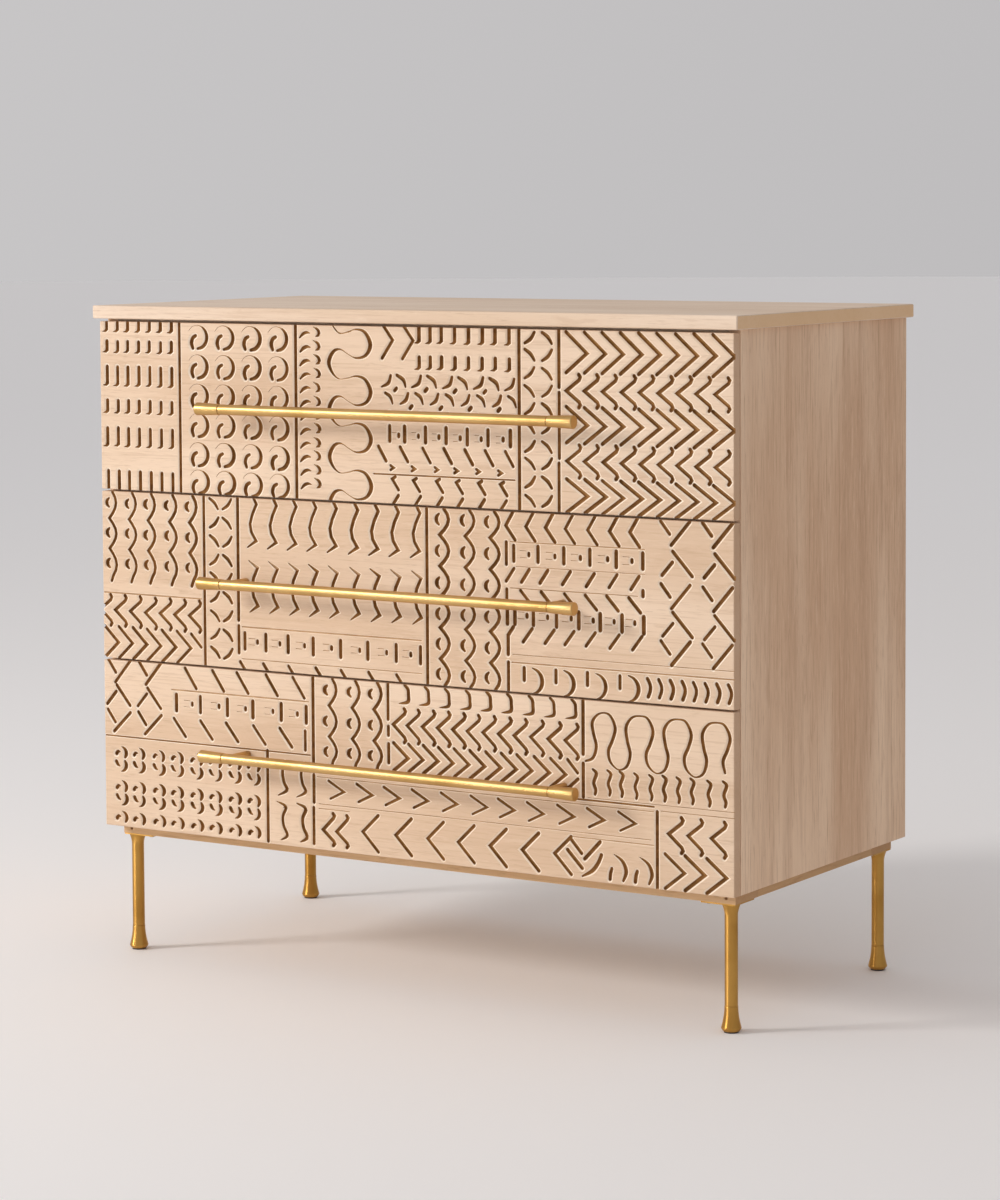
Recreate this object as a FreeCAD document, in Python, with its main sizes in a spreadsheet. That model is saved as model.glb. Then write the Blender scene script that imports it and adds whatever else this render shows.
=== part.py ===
# Three-drawer dresser: carved drawer fronts, brass bar handles, slim brass legs.
# Millimetres. X runs across the front, Y from front to back, Z up. The origin lies on the
# floor under the middle of the closed dresser's box, handles included.
import FreeCAD
import Part
import Sketcher
import math
import os
import re

SIZES = {
    # case
    "case_width": 1000,
    "case_depth": 468,
    "side_thick": 18,
    "floor_thick": 18,
    "rail_thick": 18,
    "top_rail_width": 80,
    "divider_width": 60,
    "back_thick": 6,
    "back_rabbet": 8,
    "back_inset": 2,
    "fit_play": 0.3,
    # top slab
    "slab_thick": 18,
    "slab_side_lip": 8,
    "slab_front_lip": 6,
    "slab_back_lip": 6,
    "slab_easing": 1.2,
    # drawer fronts
    "front_height": 233,
    "front_thick": 16,
    "front_reveal": 3,
    "slab_reveal": 4,
    "front_gap": 2,
    "bumper_size": 8,
    "bumper_inset": 16,
    # carved dividers, measured from the nearer end and from the top of a front
    "groove_width": 5,
    "groove_depth": 4,
    "line_width": 2,
    "line_depth": 1.5,
    "upper_divider_a": 138,
    "upper_divider_b": 333,
    "upper_right_divider_a": 314,
    "upper_right_divider_b": 254,
    "middle_divider_a": 177,
    "middle_divider_b": 234,
    "middle_divider_c": 542,
    "middle_line": 142,
    "lower_divider_a": 280,
    "lower_divider_b": 357,
    "lower_right_divider_a": 220,
    "lower_right_divider_b": 111,
    "lower_left_line": 106,
    "lower_ledge": 129,
    # drawer boxes
    "box_height": 170,
    "box_rise": 36,
    "box_depth": 420,
    "box_side": 15,
    "box_end": 15,
    "ply_thick": 6,
    "ply_rise": 8,
    "ply_groove": 7,
    "tail_wide": 26,
    "tail_narrow": 20,
    # drawer slides
    "drawer_travel": 300,
    "slide_length": 400,
    "slide_height": 45,
    "slide_room": 12.7,
    "slide_sheet": 1.2,
    "slide_flange": 9.5,
    "slide_setback": 4,
    "ball_room": 4.3,
    "ball_play": 0.15,
    "cage_sheet": 0.8,
    # bar handles
    "bar_length": 594,
    "bar_radius": 7,
    "bar_standoff": 46,
    "bar_rise": 3,
    "ferrule_length": 38,
    "ferrule_radius": 8.75,
    "ferrule_neck": 7.4,
    "post_inset": 45,
    "post_radius": 5,
    # base frame
    "base_height": 14,
    "base_width": 60,
    "base_side_inset": 12,
    "base_front_setback": 25,
    "base_back_setback": 19,
    # legs
    "leg_height": 166,
    "leg_inset": 13.5,
    "plate_size": 50,
    "plate_thick": 2,
    "plate_lip": 0.5,
    "flare_radius": 12,
    "flare_height": 13,
    "shaft_radius": 8,
    "foot_height": 32,
    "foot_radius": 13,
    "foot_belly": 6,
    "sole_radius": 10,
    "glide_radius": 9.5,
    "glide_thick": 2,
    # tenons and screws
    "tenon_length": 40,
    "tenon_in_side": 12,
    "tenon_width": 24,
    "tenon_thick": 8,
    "peg_play": 0.1,
    "end_room": 1,
    "screw_radius": 2,
    "screw_head_radius": 4,
    "screw_head": 2,
    "screw_bite": 10,
    "screw_spread": 300,
    "front_screw_inset": 90,
    "plate_screw_inset": 8,
    "peg_hole_radius": 2.2,
    "peg_hole_depth": 6,
    "handle_screw_radius": 2.5,
    "handle_screw_bite": 12,
}
DRAWERS = ("lower", "middle", "upper")
TAILS = 3
SCREW_SIDES = 6

doc = FreeCAD.newDocument("carved_dresser")
dims = doc.addObject("Spreadsheet::Sheet", "dims")
for row, (alias, value) in enumerate(SIZES.items(), start=1):
    dims.set(f"A{row}", alias)
    dims.set(f"B{row}", str(value))
    dims.setAlias(f"B{row}", alias)
doc.recompute()

# Places that follow from the sizes. A depth is measured back from the face of the drawer fronts.
HALF_CASE = "(case_width / 2)"
HALF_INSIDE = "(case_width / 2 - side_thick)"
CASE_FRONT = "(front_thick + front_gap)"
CASE_BACK = "(front_thick + front_gap + case_depth)"
BACK_SEAT = f"({CASE_BACK} - back_inset - back_thick)"
FACE_Y = f"((bar_standoff + ferrule_radius - {CASE_BACK} - slab_back_lip) / 2)"
CASE_Z = "(leg_height + base_height)"
FRONT_PITCH = "(front_height + front_reveal)"
CASE_HEIGHT = f"({len(DRAWERS)} * {FRONT_PITCH} - front_reveal + slab_reveal)"
CASE_TOP = f"({CASE_Z} + {CASE_HEIGHT})"

AXIS_TURNS = {
    "+z": FreeCAD.Rotation(),
    "+x": FreeCAD.Rotation(FreeCAD.Vector(0, 1, 0), 90),
    "+y": FreeCAD.Rotation(FreeCAD.Vector(1, 0, 0), -90),
    "-y": FreeCAD.Rotation(FreeCAD.Vector(1, 0, 0), 90),
}
AXIS_SIGNS = {"+z": (0, 0, 1), "+x": (1, 0, 0), "+y": (0, 1, 0), "-y": (0, -1, 0)}

nodes = []


def cells(text):
    return re.sub(r"[a-z]\w*", lambda word: "dims." + word.group(), str(text))


def number(text):
    return float(dims.evalExpression(cells(text)))


def depth(text):
    return f"{FACE_Y} + ({text})"


def bind(item, **sizes):
    for name, text in sizes.items():
        item.setExpression(name, cells(text))
    return item


def place(item, x, y, z):
    for axis, text in zip("xyz", (x, y, z)):
        item.setExpression(f"Placement.Base.{axis}", cells(text))
    return item


def node(label, item):
    item.Label = label
    nodes.append(item)
    return item


def box(name, corner, size):
    item = doc.addObject("Part::Box", name)
    bind(item, Length=size[0], Width=size[1], Height=size[2])
    return place(item, *corner)


def rod(name, radius, length, start, way):
    item = doc.addObject("Part::Cylinder", name)
    item.Placement = FreeCAD.Placement(FreeCAD.Vector(), AXIS_TURNS[way])
    bind(item, Radius=radius, Height=length)
    return place(item, *start)


def prism(name, radius, length, start, way):
    item = doc.addObject("Part::Prism", name)
    item.Polygon = SCREW_SIDES
    item.Placement = FreeCAD.Placement(FreeCAD.Vector(), AXIS_TURNS[way])
    bind(item, Circumradius=radius, Height=length)
    return place(item, *start)


def group(name, pieces):
    item = doc.addObject("Part::Compound", name)
    item.Links = pieces
    return item


def fuse(name, pieces):
    item = doc.addObject("Part::MultiFuse", name)
    item.Shapes = pieces
    return item


def cut(name, base, tools):
    item = doc.addObject("Part::Cut", name)
    item.Base = base
    item.Tool = tools[0] if len(tools) == 1 else group(name + "_tools", tools)
    return item


def mirror(name, source):
    item = doc.addObject("Part::Mirroring", name)
    item.Source = source
    item.Normal = FreeCAD.Vector(1, 0, 0)
    return item


def along(start, way, distance):
    return [f"{text} + ({sign}) * ({distance})" for text, sign in zip(start, AXIS_SIGNS[way])]


def screw(name, radius, length, start, way):
    """A screw whose head seats at start and whose shank runs on from there, and its hole."""
    shank = prism(name + "_shank", radius, length, start, way)
    head = prism(name + "_head", f"{radius} * screw_head_radius / screw_radius", "screw_head",
                 along(start, way, "-screw_head"), way)
    hole = prism(name + "_hole", f"{radius} + peg_play", f"{length} + end_room", start, way)
    return fuse(name, [head, shank]), hole


def arc_middle(begin, end, radius, side):
    chord = end - begin
    rise = radius - math.sqrt(radius ** 2 - (chord.Length / 2) ** 2)
    normal = FreeCAD.Vector(-chord.y, chord.x, 0).normalize()
    return (begin + end) * 0.5 + normal * (side * rise)


def profile(body, plane, corners):
    """A closed sketch through corners (x, y), or (x, y, radius, side) where an arc leads to the corner."""
    sketch = body.newObject("Sketcher::SketchObject", body.Name + "_profile")
    support = next(item for item in body.Origin.OriginFeatures if item.Role == plane)
    sketch.AttachmentSupport = (support, [""])
    sketch.MapMode = "FlatFace"
    points = [FreeCAD.Vector(number(corner[0]), number(corner[1]), 0) for corner in corners]
    count = len(corners)
    for index in range(count):
        begin = points[index - 1]
        end = points[index]
        if len(corners[index]) == 2:
            sketch.addGeometry(Part.LineSegment(begin, end))
        else:
            side = corners[index][3]
            middle = arc_middle(begin, end, number(corners[index][2]), side)
            anticlockwise = (begin, middle, end) if side < 0 else (end, middle, begin)
            sketch.addGeometry(Part.Arc(*anticlockwise))
    ends = []
    for index in range(count):
        curve = sketch.Geometry[index]
        ends.append(2 if (curve.EndPoint - points[index]).Length < 1e-6 else 1)
    for index, corner in enumerate(corners):
        follower = (index + 1) % count
        sketch.addConstraint(
            Sketcher.Constraint("Coincident", index, ends[index], follower, 3 - ends[follower]))
        for axis, text, line in (("X", corner[0], -2), ("Y", corner[1], -1)):
            if text == "0":
                sketch.addConstraint(Sketcher.Constraint("PointOnObject", index, ends[index], line))
            else:
                size = sketch.addConstraint(Sketcher.Constraint(
                    "Distance" + axis, -1, 1, index, ends[index], number(text)))
                sketch.setExpression(f"Constraints[{size}]", cells(text))
        if len(corner) == 4:
            size = sketch.addConstraint(Sketcher.Constraint("Radius", index, number(corner[2])))
            sketch.setExpression(f"Constraints[{size}]", cells(corner[2]))
    return sketch


def turned(name, plane, axis, corners):
    body = doc.addObject("PartDesign::Body", name)
    sketch = profile(body, plane, corners)
    solid = body.newObject("PartDesign::Revolution", name + "_turning")
    solid.Profile = sketch
    solid.ReferenceAxis = (sketch, [axis])
    solid.Angle = 360
    return body


def padded(name, plane, corners, length):
    body = doc.addObject("PartDesign::Body", name)
    solid = body.newObject("PartDesign::Pad", name + "_pad")
    solid.Profile = profile(body, plane, corners)
    solid.Reversed = plane == "XZ_Plane"
    bind(solid, Length=length)
    return body


def tangent_radius(across, up):
    """Radius of an arc that spans across by up and starts or ends straight up."""
    return f"((({across})^2 + ({up})^2) / (2 * ({across})))"


def cross_piece(name, corner_y, corner_z, width, thick, tenon_shares):
    """A board between the side panels, with its left loose tenons and their mortises."""
    blank = box(name + "_blank", (f"-{HALF_INSIDE}", depth(corner_y), corner_z),
                (f"2 * {HALF_INSIDE}", width, thick))
    tenons = []
    mortises = []
    for index, share in enumerate(tenon_shares):
        x = f"-{HALF_INSIDE} - tenon_in_side"
        y = depth(f"{corner_y} + {share} * ({width}) - tenon_width / 2")
        z = f"{corner_z} + {thick} / 2 - tenon_thick / 2"
        tenons.append(box(f"{name}_tenon_{index}", (x, y, z),
                          ("tenon_length", "tenon_width", "tenon_thick")))
        mortises.append(box(f"{name}_mortise_{index}",
                            (f"{x} - end_room", f"{y} - peg_play", f"{z} - peg_play"),
                            ("tenon_length + 2 * end_room", "tenon_width + 2 * peg_play",
                             "tenon_thick + 2 * peg_play")))
    return blank, group(name + "_tenons", tenons), group(name + "_mortises", mortises)


def divider_z(index):
    return f"{CASE_Z} + {index} * {FRONT_PITCH} - front_reveal / 2 - rail_thick / 2"


def make_case():
    floor_depth = "(case_depth - back_inset - back_thick)"
    rail_z = f"{CASE_TOP} - rail_thick"
    boards = {
        "bottom_panel": (CASE_FRONT, CASE_Z, floor_depth, "floor_thick", (0.15, 0.5, 0.85)),
        "front_top_rail": (CASE_FRONT, rail_z, "top_rail_width", "rail_thick", (0.5,)),
        "back_top_rail": (f"{BACK_SEAT} - top_rail_width", rail_z, "top_rail_width", "rail_thick", (0.5,)),
        "lower_divider_rail": (CASE_FRONT, divider_z(1), "divider_width", "rail_thick", (0.5,)),
        "upper_divider_rail": (CASE_FRONT, divider_z(2), "divider_width", "rail_thick", (0.5,)),
    }
    blanks = {}
    tenon_sets = []
    mortise_sets = {}
    for name, layout in boards.items():
        blanks[name], tenons, mortise_sets[name] = cross_piece(name, *layout)
        tenon_sets += [tenons, mirror(name + "_right_tenons", tenons)]

    screws = []
    drilled = {name: [] for name in (*boards, "top", "base_front", "base_back")}
    for rail in ("front_top_rail", "back_top_rail"):
        corner_y = boards[rail][0]
        start = ("-screw_spread", depth(f"{corner_y} + top_rail_width / 2"), rail_z)
        piece, hole = screw(rail + "_screw", "screw_radius", "rail_thick + screw_bite", start, "+z")
        screws.append(piece)
        drilled[rail].append(hole)
        drilled["top"].append(hole)
    for side, middle in (("front", "base_front_setback + base_width / 2"),
                         ("back", f"{CASE_BACK} - base_back_setback - base_width / 2")):
        start = ("-screw_spread", depth(middle), "leg_height")
        piece, hole = screw(f"base_{side}_screw", "screw_radius", "base_height + screw_bite", start, "+z")
        screws.append(piece)
        drilled["bottom_panel"].append(hole)
        drilled[f"base_{side}"].append(hole)

    for name in boards:
        left = [mortise_sets[name]] + drilled[name]
        right = [mirror(f"{tool.Name}_in_{name}", tool) for tool in left]
        node(name, cut(name, blanks[name], left + right))

    blank = box("side_blank", (f"-{HALF_CASE}", depth(CASE_FRONT), CASE_Z),
                ("side_thick", "case_depth", CASE_HEIGHT))
    rabbet = box("side_rabbet", (f"-{HALF_INSIDE} - back_rabbet", depth(BACK_SEAT), CASE_Z),
                 ("back_rabbet", "back_thick + back_inset", CASE_HEIGHT))
    side = node("left_side_panel", cut("left_side_panel", blank,
                                       [rabbet] + list(mortise_sets.values())))
    node("right_side_panel", mirror("right_side_panel", side))

    node("back_panel", box("back_panel",
                           (f"-{HALF_INSIDE} - back_rabbet + fit_play", depth(BACK_SEAT), CASE_Z),
                           (f"2 * ({HALF_INSIDE} + back_rabbet - fit_play)", "back_thick", CASE_HEIGHT)))

    left_screws = group("case_left_screws", screws)
    node("case_screws", group("case_screws", [left_screws, mirror("case_right_screws", left_screws)]))
    node("case_tenons", group("case_tenons", tenon_sets))
    make_slab(drilled["top"])
    make_base(drilled)


def make_slab(screw_holes):
    length = "(case_width + 2 * slab_side_lip)"
    width = f"(slab_front_lip + {CASE_BACK} + slab_back_lip)"
    corners = [("0", "0"), (length, "0"), (length, width), ("0", width)]
    body = padded("slab", "XY_Plane", corners, "slab_thick")
    doc.recompute()
    slab = body.Tip
    easing = body.newObject("PartDesign::Chamfer", "slab_easing")
    easing.Base = (slab, [f"Edge{index + 1}" for index in range(len(slab.Shape.Edges))])
    bind(easing, Size="slab_easing")
    place(body, f"-{length} / 2", depth("-slab_front_lip"), CASE_TOP)
    holes = group("slab_holes", screw_holes)
    node("top_panel", cut("top_panel", body, [holes, mirror("slab_right_holes", holes)]))


def make_base(drilled):
    half = f"({HALF_CASE} - base_side_inset)"
    back_y = f"({CASE_BACK} - base_back_setback - base_width)"
    plate_screws = {}
    for side in ("front", "back"):
        plate_screws[side] = make_left_leg(side, half)
    for side, corner_y in (("front", "base_front_setback"), ("back", back_y)):
        blank = box(f"base_{side}_blank", (f"-{half}", depth(corner_y), "leg_height"),
                    (f"2 * {half}", "base_width", "base_height"))
        tools = drilled[f"base_{side}"] + plate_screws[side][1]
        if side == "front":
            start = (f"-{half} + leg_inset", depth(corner_y), "leg_height + base_height / 2")
            tools.append(rod("base_peg_hole", "peg_hole_radius", "peg_hole_depth", start, "+y"))
        holes = group(f"base_{side}_holes", tools)
        node(f"base_{side}_rail", cut(f"base_{side}_rail", blank,
                                      [holes, mirror(f"base_{side}_right_holes", holes)]))
    rail = box("base_left_rail", (f"-{half}", depth("base_front_setback + base_width"), "leg_height"),
               ("base_width", f"{back_y} - base_front_setback - base_width", "base_height"))
    node("base_left_rail", rail)
    node("base_right_rail", mirror("base_right_rail", rail))
    left_screws = group("leg_left_screws", plate_screws["front"][0] + plate_screws["back"][0])
    node("leg_screws", group("leg_screws", [left_screws, mirror("leg_right_screws", left_screws)]))
    repeats = {"leg": "legs", "plate": "leg_plates", "foot": "leg_feet", "glide": "leg_glides"}
    for name, plural in repeats.items():
        left = group(f"left_{plural}", [doc.getObject(f"{side}_{name}") for side in ("front", "back")])
        node(plural, group(plural, [left, mirror(f"right_{plural}", left)]))


def make_left_leg(side, half):
    x = f"-{half} + leg_inset"
    inward = "1" if side == "front" else "-1"
    edge = "base_front_setback" if side == "front" else f"({CASE_BACK} - base_back_setback)"
    y = depth(f"{edge} + {inward} * leg_inset")
    ankle_z = "(glide_thick + foot_height)"
    shaft = f"(leg_height - plate_thick - {ankle_z})"
    flare = "(flare_radius - shaft_radius)"
    leg = turned(f"{side}_leg", "XZ_Plane", "V_Axis", [
        ("0", "0"), ("shaft_radius", "0"), ("shaft_radius", f"{shaft} - flare_height"),
        ("flare_radius", shaft, tangent_radius(flare, "flare_height"), -1), ("0", shaft)])
    place(leg, x, y, ankle_z)

    foot = turned(f"{side}_foot", "XZ_Plane", "V_Axis", [
        ("0", "0"), ("sole_radius", "0"), ("foot_radius", "foot_belly"),
        ("shaft_radius", "foot_height",
         tangent_radius("foot_radius - shaft_radius", "foot_height - foot_belly"), 1),
        ("0", "foot_height")])
    place(foot, x, y, "glide_thick")
    rod(f"{side}_glide", "glide_radius", "glide_thick", (x, y, "0"), "+z")

    plate_z = "leg_height - plate_thick"
    outer = f"{edge} + {inward} * plate_lip"
    plate_y = outer if side == "front" else f"{outer} - plate_size"
    blank = box(f"{side}_plate_blank", (f"-{half} + plate_lip", depth(plate_y), plate_z),
                ("plate_size", "plate_size", "plate_thick"))
    pieces = []
    holes = []
    near = "(plate_lip + plate_screw_inset)"
    far = "(plate_lip + plate_size - plate_screw_inset)"
    for index, (across, back) in enumerate(((far, near), (near, far))):
        start = (f"-{half} + {across}", depth(f"{edge} + {inward} * {back}"), plate_z)
        piece, hole = screw(f"{side}_plate_screw_{index}", "screw_radius", "plate_thick + screw_bite",
                            start, "+z")
        pieces.append(piece)
        holes.append(hole)
    cut(f"{side}_plate", blank, holes)
    return pieces, holes


def make_front(name, base_z, screw_holes):
    """A drawer front with its carved dividers: upright grooves and thin level lines."""
    top = f"({base_z} + front_height)"
    face = depth("0")
    whole = ("0", "front_height")
    uprights = {
        "upper": [("upper_divider_a", *whole), ("upper_divider_b", *whole),
                  ("case_width - upper_right_divider_a", *whole),
                  ("case_width - upper_right_divider_b", *whole)],
        "middle": [(f"middle_divider_{letter}", *whole) for letter in "abc"],
        "lower": [("lower_divider_a", "lower_left_line", "front_height"), ("lower_divider_b", *whole),
                  ("case_width - lower_right_divider_a", "0", "lower_ledge"),
                  ("case_width - lower_right_divider_b", "lower_ledge", "front_height")],
    }
    levels = {
        "upper": [],
        "middle": [("middle_line", "0", "middle_divider_a")],
        "lower": [("lower_left_line", "0", "lower_divider_b"),
                  ("lower_ledge", "lower_divider_b", "case_width")],
    }
    grooves = []
    for index, (across, begin, end) in enumerate(uprights[name]):
        corner = (f"-{HALF_CASE} + {across} - groove_width / 2", face, f"{top} - {end}")
        grooves.append(box(f"{name}_divider_{index}", corner,
                           ("groove_width", "groove_depth", f"{end} - {begin}")))
    for index, (down, begin, end) in enumerate(levels[name]):
        corner = (f"-{HALF_CASE} + {begin}", face, f"{top} - {down} - line_width / 2")
        grooves.append(box(f"{name}_level_{index}", corner,
                           (f"{end} - {begin}", "line_depth", "line_width")))
    blank = box(f"{name}_front_blank", (f"-{HALF_CASE}", face, base_z),
                ("case_width", "front_thick", "front_height"))
    carved = cut(f"{name}_front_carved", blank, grooves)
    right_holes = mirror(f"{name}_front_holes", screw_holes)
    node(f"{name}_front", cut(f"{name}_front", carved, [screw_holes, right_holes]))


def make_box(name, box_z, screw_holes):
    """The dovetailed box behind a drawer front, with its plywood bottom in a groove."""
    half = f"({HALF_INSIDE} - slide_room)"
    far = "(front_thick + box_depth - box_end)"
    inner_depth = "(box_depth - 2 * box_end)"
    groove = box(f"{name}_ply_groove",
                 (f"-{half} + box_side - ply_groove", depth("front_thick + box_end - ply_groove"),
                  f"{box_z} + ply_rise"),
                 (f"2 * ({half} - box_side + ply_groove)", f"{inner_depth} + 2 * ply_groove",
                  "ply_thick + fit_play"))
    ends = {"box_front": "front_thick", "box_back": far}
    tails = {end: [] for end in ends}
    for end, corner_y in ends.items():
        wide_first = end == "box_front"
        first = "tail_wide" if wide_first else "tail_narrow"
        last = "tail_narrow" if wide_first else "tail_wide"
        for index in range(TAILS):
            tail = doc.addObject("Part::Wedge", f"{name}_{end}_tail_{index}")
            bind(tail, Xmin="0", Xmax="box_side", X2min="0", X2max="box_side", Ymin="0", Ymax="box_end",
                 Zmin=f"-{first} / 2", Zmax=f"{first} / 2", Z2min=f"-{last} / 2", Z2max=f"{last} / 2")
            middle = f"{box_z} + {index + 0.5} * box_height / {TAILS}"
            tails[end].append(place(tail, f"-{half}", depth(corner_y), middle))
    board = box(f"{name}_side_blank", (f"-{half}", depth("front_thick + box_end"), box_z),
                ("box_side", inner_depth, "box_height"))
    joined = fuse(f"{name}_side_joined", [board] + tails["box_front"] + tails["box_back"])
    left = node(f"{name}_left_side", cut(f"{name}_left_side", joined, [groove]))
    node(f"{name}_right_side", mirror(f"{name}_right_side", left))

    for end, corner_y in ends.items():
        blank = box(f"{name}_{end}_blank", (f"-{half}", depth(corner_y), box_z),
                    (f"2 * {half}", "box_end", "box_height"))
        sockets = group(f"{name}_{end}_sockets", tails[end])
        tools = [groove, sockets, mirror(f"{name}_{end}_right_sockets", sockets)]
        if end == "box_front":
            tools += [screw_holes, mirror(f"{name}_{end}_holes", screw_holes)]
        node(f"{name}_{end}", cut(f"{name}_{end}", blank, tools))
    node(f"{name}_bottom", box(
        f"{name}_bottom",
        (f"-{half} + box_side - ply_groove + fit_play",
         depth("front_thick + box_end - ply_groove + fit_play"), f"{box_z} + ply_rise"),
        (f"2 * ({half} - box_side + ply_groove - fit_play)",
         f"{inner_depth} + 2 * ply_groove - 2 * fit_play", "ply_thick")))


def make_slides(name, slide_z):
    """Outer rail, ball cage and inner rail of the left slide, each mirrored to the right."""
    high = "slide_height"
    outer = [("0", "0"), ("slide_flange", "0"), ("slide_flange", "slide_sheet"),
             ("slide_sheet", "slide_sheet"), ("slide_sheet", f"{high} - slide_sheet"),
             ("slide_flange", f"{high} - slide_sheet"), ("slide_flange", high), ("0", high)]
    low = "(slide_sheet + ball_room)"
    tip = "(slide_room - slide_flange)"
    web = "(slide_room - slide_sheet)"
    inner = [("slide_room", low), ("slide_room", f"{high} - {low}"), (tip, f"{high} - {low}"),
             (tip, f"{high} - {low} - slide_sheet"), (web, f"{high} - {low} - slide_sheet"),
             (web, f"{low} + slide_sheet"), (tip, f"{low} + slide_sheet"), (tip, low)]
    back = "(slide_sheet + fit_play)"
    under = "(slide_sheet + ball_play)"
    over = "(slide_sheet + ball_room - ball_play)"
    cage = [(back, under), ("slide_flange", under), ("slide_flange", over), (f"{back} + cage_sheet", over),
            (f"{back} + cage_sheet", f"{high} - {over}"), ("slide_flange", f"{high} - {over}"),
            ("slide_flange", f"{high} - {under}"), (back, f"{high} - {under}")]
    start = f"({CASE_FRONT} + slide_setback)"
    members = {
        "slide_outers": (outer, start, "slide_length"),
        "slide_inners": (inner, start, "slide_length"),
        "ball_cages": (cage, f"{start} + drawer_travel / 2", "slide_length - drawer_travel"),
    }
    for label, (corners, begin, length) in members.items():
        left = padded(f"{name}_left_{label}", "XZ_Plane", corners, length)
        place(left, f"-{HALF_INSIDE}", depth(begin), slide_z)
        right = mirror(f"{name}_right_{label}", left)
        node(f"{name}_{label}", group(f"{name}_{label}", [left, right]))


def make_handle(name, bar_z, post_hole):
    far = "(bar_length - ferrule_length)"
    bar = turned(f"{name}_handle_bar", "XY_Plane", "H_Axis", [
        ("0", "0"), ("0", "ferrule_radius"), ("ferrule_length", "ferrule_neck"),
        ("ferrule_length", "bar_radius"), (far, "bar_radius"), (far, "ferrule_neck"),
        ("bar_length", "ferrule_radius"), ("bar_length", "0")])
    node(f"{name}_handle_bar", place(bar, "-bar_length / 2", depth("-bar_standoff"), bar_z))

    post = rod(f"{name}_left_post_blank", "post_radius", "bar_standoff",
               ("-bar_length / 2 + post_inset", depth("0"), bar_z), "-y")
    saddle = rod(f"{name}_saddle", "bar_radius + peg_play", "bar_length",
                 ("-bar_length / 2", depth("-bar_standoff"), bar_z), "+x")
    left = cut(f"{name}_left_post", post, [saddle, post_hole])
    node(f"{name}_handle_posts", group(f"{name}_handle_posts", [left, mirror(f"{name}_right_post", left)]))


def make_drawer(index, name):
    base_z = f"({CASE_Z} + {index} * {FRONT_PITCH})"
    box_z = f"({base_z} + box_rise)"
    bar_z = f"{base_z} + front_height / 2 + bar_rise"
    seat = depth("front_thick + box_end")
    start = (f"-{HALF_INSIDE} + slide_room + front_screw_inset", seat, f"{box_z} + box_height / 2")
    front_screw, front_hole = screw(f"{name}_front_screw", "screw_radius", "box_end + screw_bite",
                                    start, "-y")
    start = ("-bar_length / 2 + post_inset", seat, bar_z)
    handle_screw, post_hole = screw(f"{name}_handle_screw", "handle_screw_radius",
                                    "box_end + front_thick + handle_screw_bite", start, "-y")
    left = group(f"{name}_left_screws", [front_screw, handle_screw])
    right = mirror(f"{name}_right_screws", left)
    node(f"{name}_drawer_screws", group(f"{name}_drawer_screws", [left, right]))
    screw_holes = group(f"{name}_screw_holes", [front_hole, post_hole])
    make_front(name, base_z, screw_holes)
    make_box(name, box_z, screw_holes)
    make_slides(name, f"{box_z} + (box_height - slide_height) / 2")
    make_handle(name, bar_z, post_hole)
    bumper_x = f"-{HALF_CASE} + side_thick / 2 - bumper_size / 2"
    rises = {"low": "bumper_inset", "high": "front_height - bumper_inset - bumper_size"}
    return [box(f"{name}_bumper_{level}", (bumper_x, depth("front_thick"), f"{base_z} + {rise}"),
                ("bumper_size", "front_gap", "bumper_size")) for level, rise in rises.items()]


def export():
    doc.recompute()
    for item in doc.Objects:
        if {"Invalid", "Error"} & set(item.State):
            raise RuntimeError(f"{item.Name} failed: {item.State}")
    for item in nodes:
        if item.Shape.isNull() or not item.Shape.isValid() or not item.Shape.Solids:
            raise RuntimeError(f"{item.Label} has no valid solid")
    os.makedirs("parts", exist_ok=True)
    for item in nodes:
        item.Shape.exportStep(os.path.join("parts", item.Label + ".step"))
        print(item.Label, len(item.Shape.Solids), "solids", round(item.Shape.Volume), "mm3")


make_case()
pads = [pad for index, name in enumerate(DRAWERS) for pad in make_drawer(index, name)]
left_pads = group("left_bumpers", pads)
node("drawer_bumpers", group("drawer_bumpers", [left_pads, mirror("right_bumpers", left_pads)]))
export()
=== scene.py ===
import bpy
import bmesh
import math
import random
from mathutils import Euler, Matrix, Vector


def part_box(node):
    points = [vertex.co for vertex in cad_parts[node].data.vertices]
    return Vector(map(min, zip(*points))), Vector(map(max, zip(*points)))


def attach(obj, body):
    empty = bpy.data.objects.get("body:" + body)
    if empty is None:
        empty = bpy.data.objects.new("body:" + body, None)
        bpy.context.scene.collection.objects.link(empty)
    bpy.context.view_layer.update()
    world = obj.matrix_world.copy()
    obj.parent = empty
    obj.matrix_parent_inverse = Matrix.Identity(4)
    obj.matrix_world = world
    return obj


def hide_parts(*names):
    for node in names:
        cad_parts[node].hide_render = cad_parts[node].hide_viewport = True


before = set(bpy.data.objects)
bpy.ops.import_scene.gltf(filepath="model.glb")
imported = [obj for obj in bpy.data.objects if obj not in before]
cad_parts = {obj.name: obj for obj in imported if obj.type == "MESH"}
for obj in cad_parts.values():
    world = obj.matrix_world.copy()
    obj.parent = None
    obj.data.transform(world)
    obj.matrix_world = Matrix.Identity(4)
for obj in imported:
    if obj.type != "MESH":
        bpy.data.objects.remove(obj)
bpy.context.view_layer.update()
drawers = ("lower", "middle", "upper")
mm = 0.001
print("frame loaded:", len(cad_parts), "nodes")


# colours are written as they look on screen, 0 to 255
def tone(red, green, blue):
    def linear(value):
        share = value / 255
        return share / 12.92 if share <= 0.04045 else ((share + 0.055) / 1.055) ** 2.4
    return (linear(red), linear(green), linear(blue), 1.0)


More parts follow.
